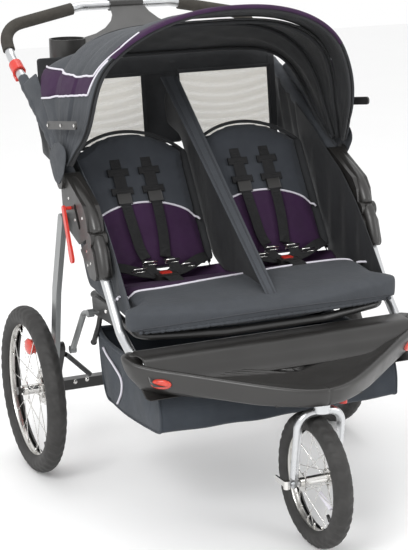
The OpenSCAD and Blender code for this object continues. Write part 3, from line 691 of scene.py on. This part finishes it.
for side, s in SIDES:
    # the purple band along each side, between two lines of piping
    for label, sec, body, a_lo, a_hi in (("rear", REAR_SEC, "handle", 43.3, 71.8),
                                         ("mid", MID_SEC, "canopy_mid", 68.2, 99.8),
                                         ("front", FRONT_SEC, "canopy_front", 96.2, 122)):
        a = np.linspace(a_lo, a_hi, 26)
        z_lo = np.interp(a, [43, 60, 90, 122], [887, 899, 912, 925])
        z_hi = np.interp(a, [43, 60, 90, 122], [950, 951, 953, 966])
        f_lo, f_hi = side_f(sec, a, z_lo, s), side_f(sec, a, z_hi, s)
        canopy_strip(f"canopy_band_{label}_{side}", sec, a, f_lo, f_hi, PURPLE, body)
        pipes = []
        for f in (f_lo, f_hi):
            tube("", on_canopy(sec, a, f, 1.8), 2.4, None, None, 8, join=pipes)
        merged(f"canopy_band_piping_{label}_{side}", pipes, PIPING, body)
    # the band turns up along the front edge and runs into the binding
    a = np.linspace(122, 128.2, 14)
    z_lo, z_hi = np.linspace(925, 1000, 14), np.linspace(966, 1026, 14)
    f_lo, f_hi = side_f(FRONT_SEC, a, z_lo, s), side_f(FRONT_SEC, a, z_hi, s)
    canopy_strip(f"canopy_band_rise_{side}", FRONT_SEC, a, f_lo, f_hi, PURPLE, "canopy_front")
    pipes = []
    for f in (f_lo, f_hi):
        tube("", on_canopy(FRONT_SEC, a, f, 1.8), 2.4, None, None, 8, join=pipes)
    f_top = side_f(FRONT_SEC, np.array([126.5]), np.array([1056.0]), s)[0]
    f_mid = side_f(FRONT_SEC, np.array([128.2]), np.array([1026.0]), s)[0]
    tube("", on_canopy(FRONT_SEC, np.linspace(128.2, 126.2, 8), np.linspace(f_mid, f_top, 8), 2.6), 2.4,
         None, None, 8, join=pipes)
    merged(f"canopy_rise_piping_{side}", pipes, PIPING, "canopy_front")
    # hem along the front edge of each side
    f = np.linspace(6.2, f_mid if s > 0 else 180 - f_mid, 30)
    f = f if s > 0 else 180 - f
    k = np.linspace(125.5, 130.2, 6)
    pts = on_canopy(FRONT_SEC, k[None].repeat(30, 0), f[:, None].repeat(6, 1), 1.2)
    pts = pts if s < 0 else pts[:, ::-1]
    hem = mesh_piece(f"canopy_side_hem_{side}", pts.reshape(-1, 3), grid_faces(30, 6), GREY, "canopy_front")
    modifier(hem, "SOLIDIFY", thickness=0.0014, offset=0)

# binding round the front edge, over the top
f_bind = np.linspace(side_f(FRONT_SEC, np.array([129.0]), np.array([1006.0]), 1)[0],
                     side_f(FRONT_SEC, np.array([129.0]), np.array([1006.0]), -1)[0], 110)
edge = on_canopy(FRONT_SEC, 130.0, f_bind, -1.0)
inner = on_canopy(FRONT_SEC, 126.0, f_bind, -1.0)
d_in = inner - edge
d_in /= np.linalg.norm(d_in, axis=1)[:, None]
t_edge = frames(edge)[0]
n_edge = np.cross(t_edge, d_in)
n_edge *= np.sign(n_edge[:, 2] + 1e-6)[:, None]
BINDING = ((-4, 0), (-2.6, 3.2), (2, 4.6), (12, 4.4), (23, 3.2), (23, 1.8),
           (4, -0.4), (23, -3.0), (23, -4.4), (12, -5.4), (2, -5.0), (-2.6, -3.2))
ring = np.stack([edge + d_in * a + n_edge * b for a, b in BINDING], 1)
mesh_piece("canopy_binding", ring.reshape(-1, 3), grid_faces(len(edge), 12, False, True), PURPLE,
           "canopy_front")

# bows sewn under the cloth, and the hem of the rear section
for name, sec, a, body in (("bow_front", FRONT_SEC, 129.2, "canopy_front"),
                           ("bow_mid", MID_SEC, 99.0, "canopy_mid"),
                           ("bow_rear", REAR_SEC, 71.0, "handle"), ("bow_back", REAR_SEC, 43.8, "handle")):
    f = np.linspace(6.5, 173.5, 84)
    tube(name, on_canopy(sec, a, f, -8.5), 4.5, DARK, body, 10)

# sleeves on the handle tube, and the cloth between them and the canopy
for side, s in SIDES:
    t = np.linspace(0.02, 0.985, 60)
    p = np.array([(s * 329, 30 + 387 * q, 700 + 219 * q) for q in t])
    r = 14.0 + 0.8 * np.sin(t * 44) + 0.6 * np.sin(t * 91 + 1)
    r[:2], r[-2:] = 12.4, 12.4
    tube(f"handle_sleeve_{side}", p, r, GREY, "handle", 18)
    rows = []
    for q in np.linspace(0, 1, 34):
        low = np.array([s * 340, 52 + 330 * q, 714 + 187 * q])
        a = 46 - 2.4 * q
        f = 7.0 + 37.0 * q
        high = on_canopy(REAR_SEC, a, f if s > 0 else 180 - f, -4)
        high[0] = s * max(abs(high[0]), 330)
        rows.append([low + (high - low) * k
                     + np.array([s * 3.0 * math.sin(k * math.pi) * (1 + math.sin(q * 21 + k * 2)), 0, 0])
                     for k in np.linspace(0, 1, 9)])
    cloth_grid(f"canopy_gusset_{side}", rows, GREY, "handle", 1.4)
    # cloth flap over the hub, its tip rounded
    rows = []
    for a in np.linspace(0, 2 * math.pi, 49):
        rim_y = 94 + 50 * math.cos(a) * (1 + 0.35 * math.sin(a))
        rim_z = 764 + 46 * math.sin(a)
        rows.append([(s * (358.4 + 1.6 * (1 - k * k) - 8 * max(0.0, math.sin(a)) * k * k
                           + 0.5 * math.sin(a * 5) * k), 94 + (rim_y - 94) * k,
                      764 + (rim_z - 764) * k) for k in np.linspace(0.02, 1, 10)])
    cloth_grid(f"canopy_hub_flap_{side}", rows, GREY, "canopy_front", 1.6)

# ---- windows behind the seats ----

FRAME_LOW, FRAME_HIGH = (339.5, 742.0), (360.5, 940.0)


def window_point(x, q, out=0.0):
    """A point on the rear panel: x across, q from the bottom (0) to the top (1)."""
    return np.array([x, FRAME_LOW[0] + (FRAME_HIGH[0] - FRAME_LOW[0]) * q + out,
                     FRAME_LOW[1] + (FRAME_HIGH[1] - FRAME_LOW[1]) * q])


border_parts = []
for side, s in SIDES:
    xs, qs = np.linspace(46, 292, 18), np.linspace(0.03, 0.86, 12)
    pts = [[window_point(s * x, q, 2 * math.sin((x - 46) / 246 * math.pi) * math.sin(q * math.pi)) for q in qs]
           for x in xs]
    cloth_grid(f"window_net_{side}", pts, NET, "handle", 0.6)
    loop = [(46, 0.02), (292, 0.02), (292, 0.86), (46, 0.86)]
    for (x0, q0), (x1, q1) in zip(loop, loop[1:] + loop[:1]):
        p = np.array([window_point(s * (x0 + (x1 - x0) * k), q0 + (q1 - q0) * k, -1.0)
                      for k in np.linspace(0, 1, 8)])
        border_parts.append(ribbon(p, 9, 2.2, (0, -1, 0.09)))
merged("window_binding", border_parts, DARK, "handle")
post = [[window_point(x, q, 1.0 + 2.0 * math.sin(q * 17 + x * 0.2)) for q in np.linspace(0, 1, 14)]
        for x in np.linspace(-48, 48, 9)]
cloth_grid("window_post", post, DARK, "handle", 1.6)
for side, s in SIDES:
    edge_cloth = [[window_point(s * x, q, 0.8 * math.sin(q * 23)) for q in np.linspace(0, 1, 14)]
                  for x in np.linspace(290, 309, 4)]
    cloth_grid(f"window_edge_{side}", edge_cloth, DARK, "handle", 1.6)
header = [[window_point(x, q, 1.2 * math.sin(x * 0.05)) for q in np.linspace(0.85, 1.13, 7)]
          for x in np.linspace(-309, 309, 40)]
window = cloth_grid("window_header", header, DARK, "handle", 1.8)
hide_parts("window_panel")

# ---- padded pieces by cloth simulation ----


def inflate(name, source, body, mats, node, voxel=6.0, pressure=4.0, cap=7.0, shrink=3.0,
            rounds=5):
    """A padded piece: the CAD solid, a little smaller, remeshed and puffed up by the cloth solver."""
    mesh = source.data.copy()
    obj = bpy.data.objects.new(name, mesh)
    scene.collection.objects.link(obj)
    mesh.materials.clear()
    bpy.context.view_layer.objects.active = obj
    modifier(obj, "REMESH", mode="VOXEL", voxel_size=voxel * 0.001)
    modifier(obj, "SMOOTH", factor=0.5, iterations=rounds)
    dg = bpy.context.evaluated_depsgraph_get()
    done = bpy.data.meshes.new_from_object(obj.evaluated_get(dg))
    obj.modifiers.clear()
    obj.data = done
    rest = vectors_of(done, "co") - vectors_of(done, "normal") * shrink * 0.001
    done.vertices.foreach_set("co", rest.ravel())
    c = modifier(obj, "CLOTH")
    c.settings.quality = 4
    c.settings.mass = 0.3
    c.settings.tension_stiffness = c.settings.compression_stiffness = 12
    c.settings.bending_stiffness = 0.6
    c.settings.use_pressure = True
    c.settings.uniform_pressure_force = pressure
    c.settings.effector_weights.gravity = 0
    c.collision_settings.use_collision = False
    c.point_cache.frame_start, c.point_cache.frame_end = 1, 20
    for k in range(1, 21):
        scene.frame_set(k)
    dg = bpy.context.evaluated_depsgraph_get()
    moved = vectors_of(obj.evaluated_get(dg).data, "co")
    obj.modifiers.clear()
    step = moved - rest
    size = np.linalg.norm(step, axis=1)[:, None] + 1e-12
    rest = rest + step * np.minimum(1, cap * 0.001 / size)
    scene.frame_set(1)
    done.vertices.foreach_set("co", rest.ravel())
    done.update()
    for m in mats:
        done.materials.append(m)
    shade_smooth(done)
    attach(obj, body)
    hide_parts(node)
    return obj


def paint(obj, rule):
    """Sets each face's material from its middle, in mm."""
    obj.data.polygons.foreach_set("material_index",
                                  [int(rule(*(p.center * 1000))) for p in obj.data.polygons])
    obj.data.update()


def carve(obj, lines, depth=2.5, width=9.0):
    """Presses seams into a padded piece along lines of points."""
    co, no = vectors_of(obj.data, "co"), vectors_of(obj.data, "normal")
    dist = np.full(len(co), 1e9)
    for line in lines:
        for q in np.asarray(line, float) * 0.001:
            dist = np.minimum(dist, np.linalg.norm(co - q, axis=1))
    co = co - no * (depth * 0.001 * np.exp(-(dist / (width * 0.0005)) ** 2))[:, None]
    obj.data.vertices.foreach_set("co", co.ravel())
    obj.data.update()


def surface_of(obj):
    return BVHTree.FromPolygons([v.co.copy() for v in obj.data.vertices],
                                [p.vertices[:] for p in obj.data.polygons])


def laid_on(tree, points, direction, lift=1.0, reach=60.0):
    """Points dropped onto a surface along a direction, then lifted off it."""
    d = Vector(direction).normalized()
    out = []
    for p in points:
        hit = tree.ray_cast(Vector([c * 0.001 for c in p]) - d * reach * 0.001, d, reach * 0.002)
        q = (hit[0] if hit[0] is not None else Vector([c * 0.001 for c in p])) - d * lift * 0.001
        out.append([c * 1000 for c in q])
    return np.array(out)


ANGLE = math.radians(57)
SLOPE = np.array([0, math.cos(ANGLE), math.sin(ANGLE)])
FACE = np.array([0, -math.sin(ANGLE), math.cos(ANGLE)])
HINGE = np.array([0, 50.0, 488.0])


def on_back(x, h, out=0.0):
    """A point on the front of a seat back: x across, h up from the hinge."""
    return np.array([x, 0, 0]) + HINGE + SLOPE * h + FACE * (22 + out)


ARC_H = 176.0          # where the purple panel ends, at the middle of a seat


def arc_h(dx):
    return ARC_H - (1 - math.sqrt(max(0.0, 1 - (dx / 150) ** 2))) * 92


for side, s in SIDES:
    mid = s * 152
    # the back pad's grey is the darker copy of the grey fabric, with shade painted into its colour
    pad = inflate(f"back_pad_{side}", nodes[f"seat_back_{side}"], f"seat_back_{side}", [SHADED_BACK_GREY, PURPLE],
                  f"seat_back_{side}")

    def rule(x, y, z, mid=mid):
        v = np.array([0, y, z]) - HINGE
        return v @ SLOPE < arc_h(x - mid) and v @ FACE > 8
    paint(pad, rule)
    seam = [on_back(mid + x, arc_h(x)) for x in np.linspace(-138, 138, 60)]
    carve(pad, [seam], 2.0, 12)
    modifier(pad, "SUBSURF", levels=1, render_levels=1)
    tree = surface_of(pad)
    line = laid_on(tree, seam, -FACE, 0.6)
    tube(f"back_piping_{side}", line, 2.6, PIPING, f"seat_back_{side}", 8)
    # dark binding round the rounded top
    rimline = []
    for a in np.linspace(math.radians(8), math.radians(172), 60):
        rimline.append(np.array([mid + 139 * math.cos(a), 0, 0]) + HINGE + SLOPE * (
            10 + 352 - 196 + math.sqrt(196 ** 2 - (139 * math.cos(a)) ** 2) - 2) + FACE * 14)
    tube(f"back_binding_{side}", np.array(rimline), 4.0, DARK, f"seat_back_{side}", 10)
    # dark cloth that the pad is sewn to
    rows = []
    for x in np.linspace(-149, 149, 22):
        top_h = 326 - 24 * max(0.0, (abs(x) - 95) / 54) ** 2
        rows.append([on_back(mid + x, h, -27 + 21 * (abs(x) / 149) ** 6)
                     for h in np.linspace(22, top_h, 20)])
    cloth_grid(f"back_cloth_{side}", rows, DARK, f"seat_back_{side}", 1.6)
    # shoulder straps with their adjusters
    straps, plates = [], []
    for k in (-1, 1):
        top_x, low_x = mid + k * 38, mid + k * 34
        pts = [on_back(top_x, 292, -3), on_back(top_x, 286, 3), on_back(top_x, 250, 6),
               on_back(top_x, 200, 8), on_back(mid + k * 37, 150, 13), on_back(low_x, 100, 14),
               on_back(low_x - k * 4, 62, 12), on_back(low_x - k * 10, 34, 16)]
        straps.append(ribbon(spline(pts, 40), 25, 2.4, FACE))
        for h, w in ((252, 50), (205, 52)):
            c = on_back(top_x, h, 8.6)
            straps.append(ribbon([c + np.array([-w / 2, 0, 0]), c, c + np.array([w / 2, 0, 0])], 17, 3.4,
                                 FACE))
        c = on_back(top_x, 228, 9)
        straps.append(ribbon([c - SLOPE * 20, c + SLOPE * 20], 29, 2.0, FACE))
        c = on_back(top_x, 186, 10)
        plates.append(ribbon([c + np.array([-17, 0, 0]), c + np.array([17, 0, 0])], 26, 5, FACE))
    obj = merged(f"shoulder_straps_{side}", straps, WEBBING, f"seat_back_{side}", rounded=False)
    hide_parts(f"straps_{side}")
    bend_edges(obj, 0.7, 2)
    obj = merged(f"strap_adjusters_{side}", plates, PLASTIC, f"seat_back_{side}",
                 rounded=False)
    bend_edges(obj, 1.2, 2)
    # waist belt, lower straps and crotch strap, on the seat
    belts = []
    for k in (-1, 1):
        pts = [(mid + k * 128, 34, 516), (mid + k * 120, 22, 530), (mid + k * 92, 6, 530),
               (mid + k * 58, -8, 520), (mid + k * 24, -18, 514)]
        belts.append(ribbon(spline(pts, 24), 26, 2.4, (0, -0.6, 0.8)))
        pts = [(mid + k * 26, 26, 536), (mid + k * 30, 6, 530), (mid + k * 26, -12, 518),
               (mid + k * 14, -20, 513)]
        belts.append(ribbon(spline(pts, 20), 25, 2.4, (0, -0.5, 0.85)))
    pts = [(mid, -40, 512), (mid, -58, 516), (mid, -82, 514), (mid, -96, 508)]
    belts.append(ribbon(spline(pts, 16), 34, 2.6, (0, 0, 1)))
    obj = merged(f"waist_belt_{side}", belts, WEBBING, "chassis", rounded=False)
    bend_edges(obj, 0.7, 2)
    slides = []
    for k in (-1, 1):
        for x, y, z in ((mid + k * 60, -9, 523), (mid + k * 27, 6, 533)):
            c = np.array([x, y, z], float)
            tube("", [c + (-16, 0, -3), c + (16, 0, -3), c + (16, -5, 6), c + (-16, -5, 6)], 1.7, None, None,
                 8, closed=True, join=slides)
    merged(f"belt_slides_{side}", slides, CHROME, "chassis")

base = inflate("seat_pad", nodes["seat_base"], "chassis", [GREY, PURPLE, DARK], "seat_base", cap=9.0,
               rounds=14)
LINE = spline([(-318, -150, 505), (-300, -138, 507), (-200, -133, 513), (-100, -118, 515), (0, -105, 516),
               (90, -88, 507),
               (160, -78, 503), (240, -82, 500), (276, -100, 504), (300, -118, 508), (318, -136, 507)], 120)


def seat_rule(x, y, z):
    """Purple behind the piping line, black underneath, grey for the apron."""
    if y > np.interp(x, LINE[:, 0], LINE[:, 1]) and z > 478:
        return 1
    return 2 if z < 452 and y > -250 else 0


paint(base, seat_rule)
front_seam = [(x, -291 + 40 * (abs(x) / 300) ** 2.2, 484 - 14 * (abs(x) / 300) ** 2)
              for x in np.linspace(-312, 312, 160)]
low_seam = [(x, -296 + 58 * (abs(x) / 300) ** 2.4, 464 - 12 * (abs(x) / 300) ** 2)
            for x in np.linspace(-300, 300, 160)]
carve(base, [LINE, front_seam], 2.2, 12)
seat_tree = surface_of(base)
modifier(base, "SUBSURF", levels=1, render_levels=1)
tube("seat_piping", laid_on(seat_tree, LINE, (0, 0, -1), 1.0), 2.8, PIPING, "chassis", 8)
seam_pts = laid_on(seat_tree, front_seam, (0, 0.8, -0.6), 0.3)
tube("seat_front_seam", seam_pts, 1.5, THREAD, "chassis", 6)
pucker = laid_on(seat_tree, low_seam, (0, 0.97, -0.2), 0.6)
pucker_r = 4.0 + 1.6 * np.sin(np.arange(len(pucker)) * 1.9) * np.sin(np.arange(len(pucker)) * 0.37)
tube("seat_low_hem", pucker, pucker_r, GREY, "chassis", 10)

crook_line = spline([(-6, 489), (8, 493), (22, 499), (36, 505)], 8)
crook = [[(x, y, z + 0.8 * math.sin(x * 0.05 + y * 0.2)) for y, z in crook_line]
         for x in np.linspace(-297, 297, 40)]
cloth_grid("seat_crook", crook, PURPLE, "chassis", 1.6)

# ---- divider between the seats: a sheet with a stitched strap along its front edge ----

STRAP_LOW, STRAP_HIGH = np.array([0, -256.0, 494.0]), np.array([0, 300.0, 908.0])
rows = []
BOTTOM = [(-256, 490), (-200, 508), (-108, 512), (0, 500), (60, 524), (150, 650), (236, 778), (318, 796),
          (332, 850)]
for q in np.linspace(0, 1, 44):
    top_p = STRAP_LOW + (STRAP_HIGH - STRAP_LOW) * q
    bot = [np.interp(q * 8, range(9), values) for values in zip(*BOTTOM)]
    row = []
    for w in np.linspace(0, 1, 9):
        y, z = top_p[1] + (bot[0] - top_p[1]) * w, top_p[2] + (bot[1] - top_p[2]) * w
        row.append((3.2 * math.sin(q * 19 + w * 3) * math.sin(w * math.pi) * math.sin(q * math.pi), y, z))
    rows.append(row)
divider = cloth_grid("divider_cloth", rows, DARK, None, 1.6)
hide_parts("centre_divider")
strap_n = np.array([0, -(STRAP_HIGH - STRAP_LOW)[2], (STRAP_HIGH - STRAP_LOW)[1]])
strap_n = strap_n / np.linalg.norm(strap_n)
q = np.linspace(0, 1, 50)
centre = STRAP_LOW + (STRAP_HIGH - STRAP_LOW) * q[:, None] + strap_n * 1.0
centre[0] += (0, -3, -6)
width = np.interp(q, [0, 0.3, 1], [26, 30, 44])
strap = merged("divider_strap", [ribbon(centre, width, 2.6, strap_n)], GREY, None,
               rounded=False)
seams = []
for k in (-0.32, -0.24, 0.24, 0.32):
    tube("", centre + np.stack([width * k, 0 * q, 0 * q], 1) + strap_n * 1.4, 0.8, None, None, 6, join=seams)
seam_obj = merged("divider_seams", seams, THREAD, None)

# ---- side panels and curtains ----

panel_objs = []
for side, s in SIDES:
    top_line = spline([(-214, 474), (-168, 530), (-108, 600), (-60, 650), (0, 700), (60, 734), (150, 790),
                       (240, 838)], 40)
    low_line = spline([(-190, 470), (-150, 474), (-100, 478), (-40, 480), (20, 486), (66, 500), (120, 600),
                       (200, 720)], 40)
    rows = []
    for i in range(40):
        row = []
        for w in np.linspace(0, 1, 12):
            y, z = top_line[i] + (low_line[i] - top_line[i]) * w
            fold = 4.0 * math.sin(i * 0.9 + w * 1.5) * math.sin(w * math.pi) * math.sin(math.pi * i / 39)
            row.append((s * (306 + fold - 2 * math.sin(w * math.pi)), y, z))
        rows.append(row)
    panel_objs.append(cloth_grid(f"side_panel_{side}", rows, [GREY if s < 0 else DARK], None, 1.5))
    rows = []
    for q in np.linspace(0, 1, 40):
        top_p = np.array([60 + 330 * q, 718 + 187 * q])
        low_p = np.array([40 + 298 * q, 690 + 56 * q])
        row = []
        for w in np.linspace(0, 1, 12):
            y, z = top_p + (low_p - top_p) * w
            fold = 4.5 * math.sin(q * 34 + w * 2) * math.sin(w * math.pi)
            row.append((s * (311 + fold + 6 * (1 - w)), y, z))
        rows.append(row)
    cloth_grid(f"side_curtain_{side}", rows, DARK, "handle", 1.5)
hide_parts("side_panels")

for obj in [divider, strap, seam_obj] + panel_objs:
    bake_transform(obj)

# ---- basket ----

OUT = [(70, 380), (54, 290), (28, 232), (-20, 226), (-80, 224), (-140, 227), (-220, 234), (-290, 244),
       (-299, 262), (-296, 300), (-278, 344), (-262, 372)]
section = spline(OUT, 54)
rows = []
for x in np.linspace(-283, 283, 40):
    k = 1 - (x / 283) ** 2
    row = []
    for i, (y, z) in enumerate(section):
        w = math.sin(math.pi * i / 53)
        puff = 3 * math.sin(x * 0.045 + i * 0.3) * k * w
        row.append((x, y + (2 * k * w + puff * 0.4) * (-1 if y < -200 else 1 if y > 0 else 0),
                    z - (6 * k * w + puff * 0.5) * (z < 260)))
    rows.append(row)
body_cloth = cloth_grid("basket_cloth", rows, BASKET, "chassis", 1.6)
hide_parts("basket")
TOPLINE = [(70, 380), (20, 364), (-60, 361), (-100, 362), (-180, 367), (-262, 372)]
for side, s in SIDES:
    upper = spline(TOPLINE, 30)
    lower = spline(OUT[2:8], 30)
    rows = []
    for i in range(30):
        row = []
        for w in np.linspace(0, 1, 14):
            a, b = upper[i], lower[i]
            y, z = a + (b - a) * w
            edge_in = np.interp(i, [0, 4, 25, 29], [0, 1, 1, 0])
            bow = 6 * math.sin(w * math.pi) * edge_in + 2.5 * math.sin(i * 0.8 + w * 5) * math.sin(w * math.pi)
            row.append((s * (283 + bow * 0.6), y, z))
        rows.append(row)
    rows = np.array(rows)
    rear_edge = spline(OUT[:3], 14)
    front_edge = spline(OUT[7:][::-1], 14)
    for j in range(14):
        shift0 = rear_edge[j] - rows[0, j, 1:]
        shift1 = front_edge[j] - rows[-1, j, 1:]
        for i in range(30):
            a0, a1 = max(0, 1 - i / 12), max(0, 1 - (29 - i) / 12)
            rows[i, j, 1:] += shift0 * a0 + shift1 * a1
    cloth_grid(f"basket_side_{side}", rows, BASKET, "chassis", 1.6)
    tube(f"basket_seam_{side}", np.array([(s * 284, y, z) for y, z in section]), 2.2, BASKET, "chassis", 8)
    pipe = spline([(s * 288.5, 30, 345), (s * 289.5, 3, 334), (s * 290.5, -42, 322), (s * 290.5, -84, 304),
                   (s * 290, -84, 276), (s * 288.5, -63, 250), (s * 286, -44, 234)], 40)
    tube(f"basket_piping_{side}", pipe, 2.6, PIPING, "chassis", 8)
    rim_top = np.array([(s * 284, y, z) for y, z in upper])
    tube(f"basket_rim_{side}", rim_top, 5, BASKET, "chassis", 10)
for name, (y, z) in (("front", OUT[-1]), ("rear", OUT[0])):
    xs = np.linspace(-284, 284, 40)
    line = np.stack([xs, np.full(40, float(y)), z - 6 * (1 - (xs / 284) ** 2)], 1)
    tube(f"basket_rim_{name}", line, 5, BASKET, "chassis", 10)
